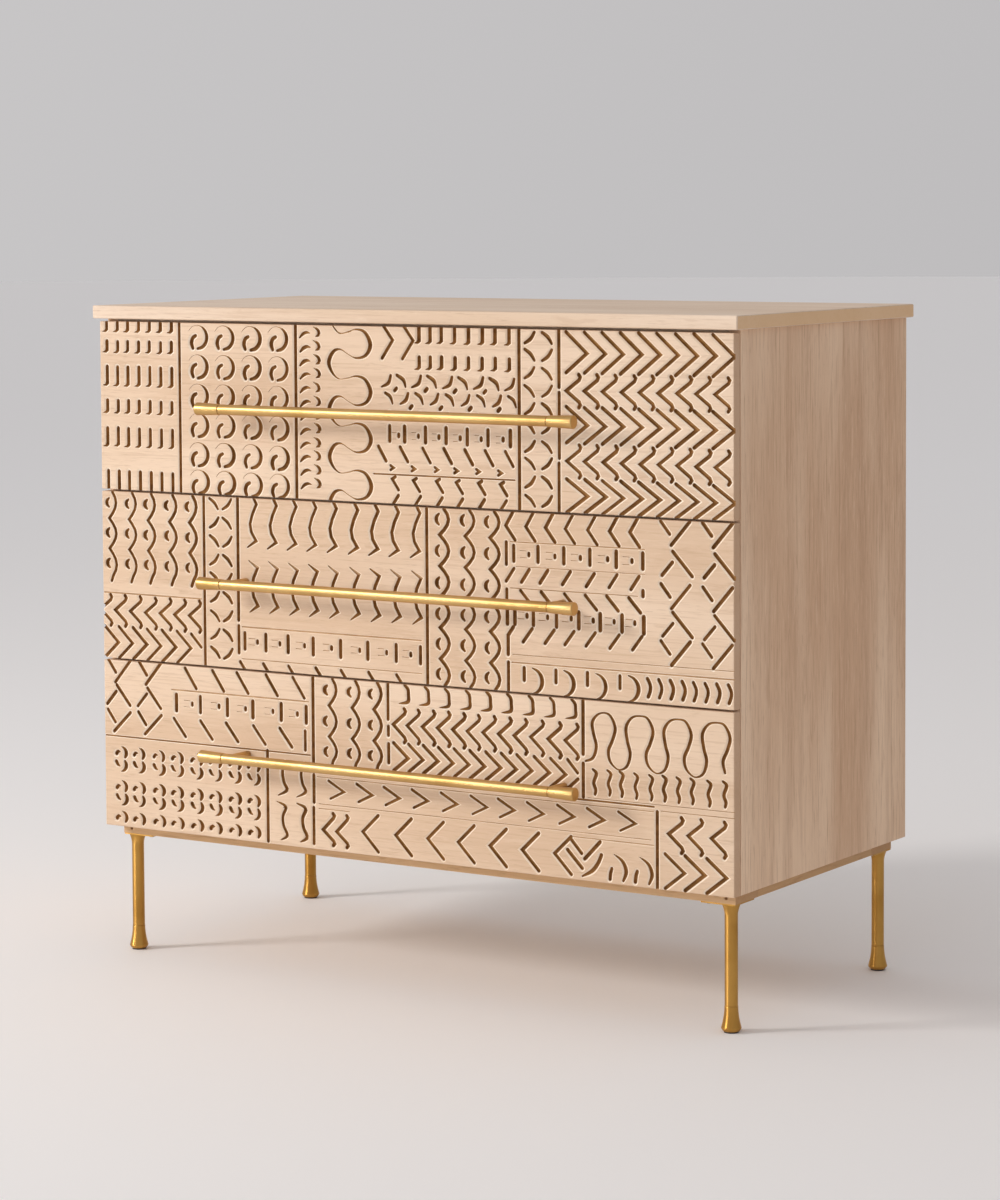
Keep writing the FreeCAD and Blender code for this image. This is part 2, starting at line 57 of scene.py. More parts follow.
class Wire:
    # a node socket that adds, subtracts and multiplies like a number
    def __init__(self, paint, socket):
        self.paint = paint
        self.socket = socket

    def maths(self, operation, first, second):
        return self.paint.add("ShaderNodeMath", {"operation": operation}, {0: first, 1: second})

    def __add__(self, other):
        return self.maths("ADD", self, other)

    def __radd__(self, other):
        return self.maths("ADD", other, self)

    def __sub__(self, other):
        return self.maths("SUBTRACT", self, other)

    def __rsub__(self, other):
        return self.maths("SUBTRACT", other, self)

    def __mul__(self, other):
        return self.maths("MULTIPLY", self, other)

    def __rmul__(self, other):
        return self.maths("MULTIPLY", other, self)


class Paint:
    # one material or world in the making: add() makes every node, its settings first, then its sockets
    def __init__(self, name, world=None):
        self.material = world or bpy.data.materials.new(name)
        self.material.use_nodes = True
        self.tree = self.material.node_tree
        self.tree.nodes.clear()

    def add(self, kind, settings, sockets, out=0):
        node = self.tree.nodes.new(kind)
        for key, value in settings.items():
            setattr(node, key, value)
        for key, value in sockets.items():
            if isinstance(value, Wire):
                self.tree.links.new(value.socket, node.inputs[key])
            else:
                node.inputs[key].default_value = value
        return Wire(self, node.outputs[out]) if node.outputs else None

    def spot(self, stretch, shift=(0, 0, 0)):   # place on the piece, in metres, stretched
        place = self.add("ShaderNodeTexCoord", {}, {}, "Object")
        return self.add("ShaderNodeMapping", {}, {"Vector": place, "Scale": stretch, "Location": shift})

    def noise(self, where, detail, rough=0.5, bend=0.0):
        return self.add("ShaderNodeTexNoise", {}, {"Vector": where, "Scale": 1.0, "Detail": detail,
                                                   "Roughness": rough, "Distortion": bend})

    def ramp(self, value, low, high, start=0.0, end=1.0):
        return self.add("ShaderNodeMapRange", {"interpolation_type": "SMOOTHSTEP"},
                        {"Value": value, "From Min": low, "From Max": high, "To Min": start, "To Max": end})

    def mix(self, share, first, second):
        return self.add("ShaderNodeMix", {"data_type": "RGBA"}, {0: share, 6: first, 7: second}, 2)

    def bump(self, height, distance, strength=1.0):
        return self.add("ShaderNodeBump", {}, {"Height": height, "Distance": distance, "Strength": strength})

    def surface(self, sockets):
        shader = self.add("ShaderNodeBsdfPrincipled", {}, sockets)
        self.add("ShaderNodeOutputMaterial", {}, {"Surface": shader})
        return self.material


def alongAxis(along, lengthwise, across):   # one value along the grain or the axis, another across it
    return tuple(lengthwise if axis == along else across for axis in "xyz")


# pale bleached boards, grain along one axis; scales are (along, across) per metre
woodGrain = {"broad": (1.1, 6.5), "figure": (1.9, 34), "lines": (9, 330), "fibre": (42, 1300), "patch": (3, 9),
             "figureShare": 0.45, "poreShare": 0.45, "endShare": 0.75, "relief": 0.00025, "gloss": 0.35}
plainWood = {"rough": 0.5, "mottle": 0.3, "fleck": (14, 85), "line": 0.34}
paleWood = dict(plainWood, pale=tone(234, 212, 190), warm=tone(221, 194, 167), streak=tone(194, 161, 131),
                pore=tone(152, 116, 86), end=tone(232, 189, 139), mottle=0.28)
faceWood = dict(plainWood, pale=tone(230, 204, 178), warm=tone(215, 184, 154), streak=tone(190, 155, 122),
                pore=tone(150, 114, 84), end=tone(202, 162, 126), fleck=(18, 150))
# groove rims: paler than the face wood, partly bare sanded wood and partly a painted highlight on the eased edges
rimWoodAndHighlight = dict(plainWood, pale=tone(247, 230, 209), warm=tone(240, 218, 193), streak=tone(222, 193, 163),
               pore=tone(190, 156, 124), end=tone(222, 193, 163), mottle=0.2, line=0.3)
# side boards: the finer fleck is grain, while the warmer, browner tone is partly painted warm shade on the side
# panels
sideWood = dict(plainWood, pale=tone(244, 212, 180), warm=tone(219, 179, 144), streak=tone(184, 141, 107),
                pore=tone(134, 96, 67), end=tone(184, 141, 107), rough=0.52, mottle=0.42, fleck=(22, 300),
                line=0.5)
# base rails: darker and warmer than the boards above, partly painted shade for rails under the case
baseWood = dict(plainWood, pale=tone(221, 184, 141), warm=tone(203, 161, 113), streak=tone(172, 128, 82),
                pore=tone(132, 94, 58), end=tone(186, 142, 96), mottle=0.4, fleck=(16, 160))
drawerWood = dict(plainWood, pale=tone(222, 190, 150), warm=tone(206, 170, 126), streak=tone(182, 142, 98),
                  pore=tone(150, 110, 70), end=tone(182, 142, 98), rough=0.48)
plyWood = dict(plainWood, pale=tone(216, 184, 142), warm=tone(200, 164, 120), streak=tone(178, 138, 96),
               pore=tone(152, 114, 76), end=tone(178, 138, 96), rough=0.58, mottle=0.5)


def makeWood(name, look, along, shift):
    paint = Paint(name)

    def grain(scales, **settings):
        return paint.noise(paint.spot(alongAxis(along, *scales), shift), **settings)
    broad = grain(woodGrain["broad"], detail=2)
    figure = grain(woodGrain["figure"], detail=4, rough=0.6, bend=0.6)
    mottle = grain(look["fleck"], detail=4, rough=0.62, bend=0.9)
    lines = grain(woodGrain["lines"], detail=3, rough=0.65)
    fibre = grain(woodGrain["fibre"], detail=2, rough=0.6)
    patch = grain(woodGrain["patch"], detail=2)
    facing = paint.add("ShaderNodeNewGeometry", {}, {}, "Normal")
    square = paint.add("ShaderNodeVectorMath", {"operation": "DOT_PRODUCT"},
                       {0: facing, 1: alongAxis(along, 1, 0)}, "Value")
    ends = paint.ramp(square * square, 0.6, 0.9)   # end grain has a tone of its own
    pores = paint.ramp(fibre, 0.6, 0.74) * paint.ramp(patch, 0.36, 0.66, 0.25, 1.0)
    colour = paint.mix(paint.ramp(broad, 0.34, 0.66), look["pale"], look["warm"])
    colour = paint.mix(paint.ramp(figure, 0.5, 0.78, 0.0, woodGrain["figureShare"]), colour, look["streak"])
    colour = paint.mix(paint.ramp(mottle, 0.54, 0.7, 0.0, look["mottle"]), colour, look["streak"])
    colour = paint.mix(paint.ramp(mottle, 0.32, 0.45, look["mottle"], 0.0), colour, look["pale"])
    colour = paint.mix(paint.ramp(lines, 0.52, 0.7, 0.0, look["line"]), colour, look["streak"])
    colour = paint.mix(pores * woodGrain["poreShare"], colour, look["pore"])
    colour = paint.mix(ends * woodGrain["endShare"], colour, look["end"])
    rough = look["rough"] + 0.14 * lines - 0.05 * broad + 0.08 * pores
    height = lines * 0.45 + fibre * 0.3 - pores * 0.6
    return paint.surface({"Base Color": colour, "Roughness": rough, "Specular IOR Level": woodGrain["gloss"],
                          "Normal": paint.bump(height, woodGrain["relief"], 0.7)})


# the cut of a groove: walls and floor in a dark brown that is partly real stain and partly painted shade of the
# recess, a paler brown in shallow cuts where less shade is painted; paler bare wood at the eased rim, partly a
# painted highlight
cutLook = {"stainAndShade": tone(166, 119, 66), "deep": tone(130, 88, 43), "rough": 0.66}
faintLook = {"stainAndShade": tone(206, 170, 132), "deep": tone(182, 143, 103), "rough": 0.6}


def makeStainAndShade(name, look):
    paint = Paint(name)
    soft = paint.noise(paint.spot((40, 40, 90)), detail=3, rough=0.6)
    scrape = paint.noise(paint.spot((300, 700, 700)), detail=2)
    # this brown is darker than the face wood: partly stain, partly painted shade inside the groove
    colour = paint.mix(paint.ramp(soft, 0.3, 0.7), look["deep"], look["stainAndShade"])
    return paint.surface({"Base Color": colour, "Roughness": look["rough"] + 0.1 * scrape,
                          "Normal": paint.bump(scrape, 0.0002, 0.6), "Specular IOR Level": 0.25})


# satin brass: fine marks from the lathe and a little tarnish
# bars and legs are one brass in two tones: the bars' paler tone is partly a painted highlight, and the legs' darker,
# more saturated tone is partly painted shade
barLook = {"bright": tone(210, 173, 114), "tarnish": tone(188, 147, 85), "rough": 0.3, "lathe": 0.00001,
           "ringed": 0.0, "marks": (1500, 6)}
legBrassLook = {"bright": tone(204, 157, 82), "tarnish": tone(174, 125, 54), "rough": 0.32, "lathe": 0.00002,
                "ringed": 0.92, "marks": (1500, 6)}


def makeBrass(name, look, along):
    paint = Paint(name)
    cloud = paint.noise(paint.spot((9, 9, 9)), detail=3, rough=0.6)
    marks = paint.noise(paint.spot(alongAxis(along, *look["marks"])), detail=2, rough=0.6)
    spots = paint.noise(paint.spot((160, 160, 160)), detail=2)
    colour = paint.mix(paint.ramp(cloud, 0.38, 0.75), look["bright"], look["tarnish"])
    rough = look["rough"] + 0.1 * marks + 0.06 * paint.ramp(spots, 0.5, 0.75)
    # rings from turning draw the shine out along the axis, a quarter turn from the tangent
    return paint.surface({"Base Color": colour, "Metallic": 1.0, "Roughness": rough, "Anisotropic": look["ringed"],
                          "Anisotropic Rotation": 0.25, "Normal": paint.bump(marks, look["lathe"])})


# zinc plated sheet and screws
steelLook = {"clear": tone(200, 199, 196), "dull": tone(166, 165, 162), "rough": 0.32}


def makeSteel(name, look):
    paint = Paint(name)
    cloud = paint.noise(paint.spot((60, 60, 60)), detail=4, rough=0.65)
    rolled = paint.noise(paint.spot((900, 12, 900)), detail=2)
    colour = paint.mix(paint.ramp(cloud, 0.35, 0.7), look["clear"], look["dull"])
    return paint.surface({"Base Color": colour, "Metallic": 1.0, "Roughness": look["rough"] + 0.16 * cloud,
                          "Normal": paint.bump(rolled, 0.00004, 0.4)})


plasticLook = {"face": tone(34, 32, 31), "worn": tone(62, 59, 56), "rough": 0.5}
rubberLook = {"face": tone(206, 204, 196), "worn": tone(186, 182, 170), "rough": 0.42}


def makeMoulded(name, look):
    paint = Paint(name)
    cloud = paint.noise(paint.spot((120, 120, 120)), detail=3)
    fine = paint.noise(paint.spot((2200, 2200, 2200)), detail=1)
    colour = paint.mix(paint.ramp(cloud, 0.4, 0.75), look["face"], look["worn"])
    return paint.surface({"Base Color": colour, "Roughness": look["rough"] + 0.12 * fine,
                          "Normal": paint.bump(fine, 0.00005, 0.5)})


frontWood = {name: makeWood(name + "FrontWood", faceWood, "x", (0.7 * index, 0.3 * index, 1.3 * index))
             for index, name in enumerate(drawers)}
acrossWood = makeWood("acrossWood", paleWood, "x", (2.1, 0.4, 3.3))
uprightWood = makeWood("uprightWood", sideWood, "z", (1.7, 2.9, 0.6))
baseAcross = makeWood("baseAcross", baseWood, "x", (0.9, 1.6, 2.7))
baseDepth = makeWood("baseDepth", baseWood, "y", (0.3, 1.1, 2.4))
cutRimAndHighlight = makeWood("cutRimAndHighlight", rimWoodAndHighlight, "x", (1.2, 0.2, 4.1))
boxAcrossWood = makeWood("boxAcrossWood", drawerWood, "x", (5.2, 1.4, 0.8))
boxDepthWood = makeWood("boxDepthWood", drawerWood, "y", (4.1, 3.3, 2.2))
plyAcross = makeWood("plyAcross", plyWood, "x", (6.0, 2.0, 1.0))
# groove walls and floors: stain with painted shade, the faint one paler for shallow cuts
grooveStainAndShade = makeStainAndShade("grooveStainAndShade", cutLook)
faintStainAndShade = makeStainAndShade("faintStainAndShade", faintLook)
barBrass = makeBrass("barBrass", barLook, "x")
legBrass = makeBrass("legBrass", legBrassLook, "z")
zincSteel = makeSteel("zincSteel", steelLook)
blackPlastic = makeMoulded("blackPlastic", plasticLook)
clearRubber = makeMoulded("clearRubber", rubberLook)
print("materials made:", len(bpy.data.materials))


# mesh helpers
def newPiece(name, bm, materials, sharp=30):
    mesh = bpy.data.meshes.new(name)
    bm.to_mesh(mesh)
    bm.free()
    for material in materials:
        mesh.materials.append(material)
    piece = bpy.data.objects.new(name, mesh)
    bpy.context.scene.collection.objects.link(piece)
    shadeSoft(mesh, sharp)
    return piece


def shadeSoft(mesh, sharp):
    for face in mesh.polygons:
        face.use_smooth = True
    mesh.set_sharp_from_angle(angle=math.radians(sharp))


def islands(node):   # box of each loose solid in a CAD node
    bm = bmesh.new()
    bm.from_mesh(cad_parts[node].data)
    bmesh.ops.remove_doubles(bm, verts=bm.verts[:], dist=1e-5)
    left = set(bm.verts)
    boxes = []
    while left:
        stack = [left.pop()]
        found = []
        while stack:
            vert = stack.pop()
            found.append(vert.co.copy())
            for edge in vert.link_edges:
                other = edge.other_vert(vert)
                if other in left:
                    left.remove(other)
                    stack.append(other)
        low = Vector([min(co[axis] for co in found) for axis in range(3)])
        high = Vector([max(co[axis] for co in found) for axis in range(3)])
        boxes.append((low, high))
    bm.free()
    return sorted(boxes, key=lambda pair: tuple(round(value, 4) for value in pair[0]))


def outward(bm):
    bmesh.ops.recalc_face_normals(bm, faces=bm.faces[:])
    return bm


def band(bm, first, second):   # quads between two rings with as many corners
    count = len(first)
    return [bm.faces.new((first[step], first[(step + 1) % count], second[(step + 1) % count], second[step]))
            for step in range(count)]


def circle(radius, steps):
    angles = [2 * math.pi * step / steps for step in range(steps)]
    return [(radius * math.cos(angle), radius * math.sin(angle)) for angle in angles]


def lathe(bm, profile, turn, steps=48):   # profile of (along, radius), turned about local z
    rings = [[bm.verts.new(turn @ Vector((x, y, along)))
              for x, y in (circle(radius, steps) if radius > 1e-6 else [(0, 0)])] for along, radius in profile]
    for lower, upper in zip(rings, rings[1:]):
        if len(lower) == len(upper):
            band(bm, lower, upper)
            continue
        for step in range(steps):   # a fan to the point on the axis
            follow = (step + 1) % steps
            bm.faces.new((lower[0], upper[follow], upper[step]) if len(lower) == 1 else
                         (lower[step], lower[follow], upper[0]))


def corner(along, radius, size, startAngle, endAngle, steps=5):   # a rounded corner of a turned profile
    return [(along + size * math.sin(angle), radius + size * math.cos(angle))
            for angle in (math.radians(startAngle + (endAngle - startAngle) * step / steps)
                          for step in range(steps + 1))]


def roundedBox(bm, low, high, ease, steps=2):
    made = bmesh.ops.create_cube(bm, size=1.0)
    size = high - low
    for vert in made["verts"]:
        vert.co = Vector([low[axis] + (vert.co[axis] + 0.5) * size[axis] for axis in range(3)])
    edges = list({edge for vert in made["verts"] for edge in vert.link_edges})
    bmesh.ops.bevel(bm, geom=edges, offset=ease, segments=steps, profile=0.5, affect="EDGES")


# carved fronts: every groove is a stroke of (right, down, share of full width) in millimetres
carving = {"width": 5.0, "depth": 4.4, "rim": 2.0, "rimDepth": 1.25, "wall": 0.85, "wallDepth": 0.7, "floor": 0.62,
           "shallow": 0.3, "proud": 0.15, "mitre": 0.5, "bend": 0.95, "straight": 0.02, "capSteps": 4,
           "curveSteps": 5, "ease": 1.3, "cells": (40, 9), "faint": 0.42, "spare": 1.2, "sharp": 18,
           "wobble": 0.45, "bolder": 0.08, "seed": 41}
wobble = random.Random(carving["seed"])


def line(*points):
    return {"points": points, "curved": False}


def curve(*points):
    return {"points": points, "curved": True}


# upright cuts; a tail turns left at the foot, but not where the cut runs off the board
def tallies(columns, rows, tails=False, share=1.12, lastFoot=231):
    strokes = []
    for x in columns:
        for top, bottom in rows:
            foot = [(x, bottom - 3.2, share), (x - 2.2, bottom - 0.6, 0.75), (x - 7, bottom, 0.2)]
            strokes.append(line((x, top, share), *(foot if tails and bottom < lastFoot else [(x, bottom, share)])))
    return strokes


def slants(starts, top, bottom, lean, share=1.0):
    return [line((x, top, share), (x + lean, bottom, share)) for x in starts]


def arrows(tips, middle, reach, top, bottom, share=1.0):   # reach is negative for a tip on the right
    return [line((x + reach, top, share), (x, middle, share), (x + reach, bottom, share)) for x in tips]


def hookedArrows(tips, middle, reach, top, bottom, hook=7):
    return [line((x + reach - 1.6, top, 1.05), (x + reach + 0.7, top + hook * 0.45), (x + reach - 1, top + hook),
                 (x, middle), (x + reach - 1, bottom - hook), (x + reach + 0.7, bottom - hook * 0.45),
                 (x + reach - 1.6, bottom, 1.05)) for x in tips]


def scribe(left, right, down, share=0.4):
    return line((left, down, share), (right, down, share))


def ring(x, y, radius, start, end, shares):   # part of a circle, clockwise, angles in degrees from the right
    count = len(shares) - 1
    points = []
    for index, share in enumerate(shares):
        angle = math.radians(start + (end - start) * index / count)
        points.append((x + radius * math.cos(angle), y + radius * math.sin(angle), share))
    return curve(*points)


def scallops(x, cusps, swell, ends, steps=6):   # a column of bows that meet in cusps
    points = [(x + ends[0][0], ends[0][1])]
    levels = [ends[0][1]] + list(cusps) + [ends[1][1]]
    for upper, lower in zip(levels, levels[1:]):
        for step in range(1, steps + 1):
            share = step / steps
            points.append((x + swell * math.sin(math.pi * share), upper + (lower - upper) * share))
    points[-1] = (x + ends[1][0], ends[1][1])
    return line(*points)


def commas(columns, rows, tall=12):   # short bows that swell to the left
    return [curve((x + 3, y - tall / 2, 0.7), (x - 0.5, y - tall / 4, 1.1), (x - 1.5, y, 1.25),
                  (x - 0.5, y + tall / 4, 1.1), (x + 3, y + tall / 2, 0.7)) for x in columns for y in rows]


def studs(columns, y, tall=6, tail=13):   # a bold bead in the mouth of a faint scribed box
    strokes = []
    for x in columns:
        strokes.append(line((x, y - tall / 4), (x, y + tall / 4)))
        strokes += [scribe(x - tail, x - 3.5, y + side * (tall / 2 + 1.4), 0.22) for side in (-1, 1)]
    return strokes


def lattice(left, right, centres, lean=7.2, tall=7, first=1):
    strokes = []
    for index, y in enumerate(centres):
        way = first if index % 2 == 0 else -first
        for x, side in ((left, way), (right, -way)):
            bow = 1.6 if side > 0 else -1.2   # both ways bow to the right
            strokes.append(curve((x + side * lean, y - tall, 0.85), (x + 1.2, y + bow, 1.05),
                                 (x - side * lean, y + tall, 0.8)))
    return strokes


def spaced(start, pitch, count):
    return [start + pitch * index for index in range(count)]


def uprights(cuts):   # cuts of (right, top, bottom)
    return [line((x, top), (x, bottom)) for x, top, bottom in cuts]


upperLayout = {"dividers": ((138, -6, 239), (333, -6, 239), (686, -6, 239), (746, -6, 73), (746, 80, 164),
                            (746, 170, 239)),
               "curlColumns": (169, 213, 258, 303), "curlRows": (18, 58, 98, 138, 178, 216)}


def upperStrokes(layout):
    strokes = uprights(layout["dividers"])
    strokes += tallies((11, 30, 48, 67, 86, 105, 124),
                       ((-6, 14), (28, 43), (63, 89), (110, 127), (148, 173), (208, 239)), True)
    for x in layout["curlColumns"]:
        for y in layout["curlRows"]:
            strokes.append(ring(x, y + 1, 16, -150, 88, (0.14, 0.17, 0.24, 0.5, 0.95, 1.2, 1.2, 1.1, 0.85)))
            strokes.append(curve((x - 3, y - 1, 0.95), (x - 8, y + 2, 1.1), (x - 10.5, y + 9, 1.2),
                                 (x - 8, y + 16, 1.0)))
    for y in spaced(13, 18.4, 12):
        strokes.append(curve((341, y + 4, 0.6), (346, y - 1, 1.0), (352, y - 3, 0.85), (358, y - 2, 0.3)))
        strokes.append(curve((363, y - 11, 0.3), (370, y - 7, 0.9), (371.5, y - 1, 1.05), (367, y + 2, 0.4)))
    snake = [(390, -6, 0.4), (404, 9, 0.4), (418, 8, 0.4), (432, 4, 0.45)]
    for y in spaced(0, 62.5, 4):
        snake += [(446, y + 8, 0.9), (454, y + 24, 1.25), (447, y + 38, 0.9), (432, y + 42, 0.5),
                  (419, y + 37, 0.3), (407, y + 31, 0.45), (395, y + 34, 0.95), (387, y + 48, 1.2),
                  (393, y + 62, 0.75), (404, y + 70, 0.35), (418, y + 69, 0.35), (432, y + 66, 0.5)]
    strokes.append(curve(*snake[:-3]))
    strokes += arrows((490, 523), 18, -17, -4, 42)
    strokes += tallies((532, 549, 567, 588, 609, 630, 650, 671), ((-6, 21), (39, 55)), True)
    for index, x in enumerate(spaced(480, 24, 9)):   # two rows of petals with beads between them
        side = 1 if index % 2 == 0 else -1
        strokes.append(curve((x + side * 7, 64, 0.9), (x + 3, 72 + side * 2, 1.1), (x - side * 7, 79, 0.6)))
        strokes.append(curve((x + 4 - side * 6, 87, 0.9), (x + 6, 94 - side * 2, 1.1),
                             (x + 4 + side * 6, 101, 0.6)))
    for x, y in [(x, 82) for x in (494, 542, 588, 634)] + [(x, 105) for x in (519, 565, 611, 655)]:
        strokes.append(line((x + 1.5, y - 1.5, 1.1), (x - 1.5, y + 1.5, 1.1)))
    strokes += slants((485, 533, 577, 622), 112, 116, 0, 0.9)
    strokes += tallies((485, 508, 541, 573, 606, 638, 672), ((131, 151),))
    strokes += studs((499, 530, 562, 595, 628, 661), 143, tail=10)
    strokes += slants((467, 501, 537, 570, 602, 634, 665), 158, 177, 12)
    strokes += arrows((491, 524, 561, 591, 625, 659), 186, -5, 183, 189, 0.8)
    strokes.append(scribe(459, 679, 194.5))
    strokes += [line((x + 5, 198), (x, 201), (x + 10, 215)) for x in (488, 522, 558, 589, 623, 657)]
    strokes += slants((498, 533, 567, 599, 632, 666), 222, 240, -13)
    strokes += lattice(702, 728, (11, 33, 56, 79, 102, 126, 150, 172, 196, 220))
    for top, middle, bottom in ((2, 29, 54), (98, 121, 144), (190, 211, 233)):
        strokes += arrows(spaced(788, 26.6, 9), middle, -31, top, bottom)
    for top, bottom in ((56, 98), (146, 188)):
        strokes += hookedArrows(spaced(757, 27, 9), (top + bottom) / 2, 20, top, bottom)
    return strokes


middleLayout = {"dividers": ((177, -6, 239), (542, -6, 239), (234, -6, 167), (234, 175, 212))}


def middleStrokes(layout):
    strokes = uprights(layout["dividers"])
    strokes += [scallops(x, (38, 80), 12, ((5, -6), (3, 125))) for x in (12, 47, 80, 117, 152)]
    strokes += commas((9, 43, 76, 112, 148), (16, 58, 100))
    strokes.append(scribe(-6, 172, 142))
    strokes += hookedArrows((-5, 20, 47, 73, 99, 124, 150), 166, 19, 145, 188)
    strokes += arrows((25, 50, 75, 100, 126, 152), 211, -24, 189, 233)
    strokes.append(line((153, 191), (170, 208)))
    strokes += lattice(194, 216, spaced(10, 25.5, 9), first=-1)
    for x in (254, 287, 320, 353, 386, 420, 453, 486, 520):
        strokes.append(line((x + 4, -6), (x + 12, 8), (x + 5, 22), (x + 1, 35), (x + 3, 46), (x + 11, 58),
                            (x - 3, 67, 0.5)))
        strokes.append(line((x - 1, 85, 0.4), (x + 13, 94, 0.9), (x + 6, 108), (x + 3, 121), (x + 6, 134),
                            (x + 13, 146), (x, 155, 0.4)))
    strokes.append(scribe(241, 533, 176))
    strokes += tallies((244, 279, 316, 358, 403, 447, 492, 531), ((184, 206),))
    strokes += studs((265, 303, 344, 388, 434, 477, 516), 195)
    strokes.append(scribe(240, 533, 219, 0.3))
    strokes += slants((236, 275, 317, 362, 403, 448, 493), 224, 241, 13)
    strokes += [scallops(x, (35, 76, 117, 157, 198), 14, ((5, -6), (5, 240))) for x in (562, 602, 640)]
    strokes += commas((559, 598, 635), (14, 56, 98, 138, 178, 218), 14)
    strokes += arrows((665, 695, 725, 755, 788, 820, 850), 18, 14, -5, 36)
    strokes += [scribe(672, 872, 38, 0.3), line((665, 39), (665, 68))]
    strokes += tallies((677, 713, 752, 791, 830, 869), ((43, 63),))
    strokes += studs((700, 739, 777, 817, 853), 54)
    strokes.append(scribe(680, 872, 70, 0.26))
    strokes += slants((677, 700, 728, 762, 797, 831, 863), 73, 90, -12)
    strokes += [line((869, 91), (869, 98)), scribe(672, 862, 98.5, 0.26), line((666, 100), (666, 118))]
    strokes += slants((687, 718, 753, 784, 816, 848), 101, 119, 17)
    strokes += tallies((666, 678, 706, 741, 774, 806, 838, 870), ((124, 145),))
    strokes += studs((696, 728, 763, 796, 827, 857), 133)
    strokes += slants((704, 737, 767, 799, 834, 867), 149, 167, -14)
    strokes += [line((675, 149), (667, 160), (667, 185)), scribe(675, 1006, 184, 0.26), scribe(674, 1006, 195),
                line((668, 195), (668, 239))]
    for x in spaced(692, 47.6, 4):
        strokes.append(line((x, 201), (x, 217)))
        strokes.append(ring(x + 10, 217, 17, -80, 85, (0.4, 0.75, 1.05, 1.15, 1.0, 0.7, 0.35)))
    strokes += [curve((x - 1, 202), (x + 3, 210), (x + 3, 217), (x, 225)) for x in spaced(876, 16.6, 8)]
    for index, top in enumerate((1, 39, 81, 116, 153)):
        for x in (895, 955):
            if index % 2 == 0:
                strokes.append(line((x, top), (x + 13, top + 16)))
                strokes.append(line((x + 42, top - 1), (x + 15, top + 30)))
            else:
                strokes.append(line((x + 17, top), (x + 45, top + 30)))
                strokes.append(line((x + 17, top + 14), (x + 2, top + 31)))
    return strokes


lowerLayout = {"dividers": ((280, 106, 230), (357, -6, 126), (357, 133, 170), (357, 177, 226), (479, -6, 48),
                            (479, 57, 69), (479, 81, 106), (780, -6, 70), (780, 82, 125), (889, 134, 239)),
               "curlColumns": (27, 58, 93, 125, 159, 191, 224, 256), "curlRows": (137, 185, 228)}


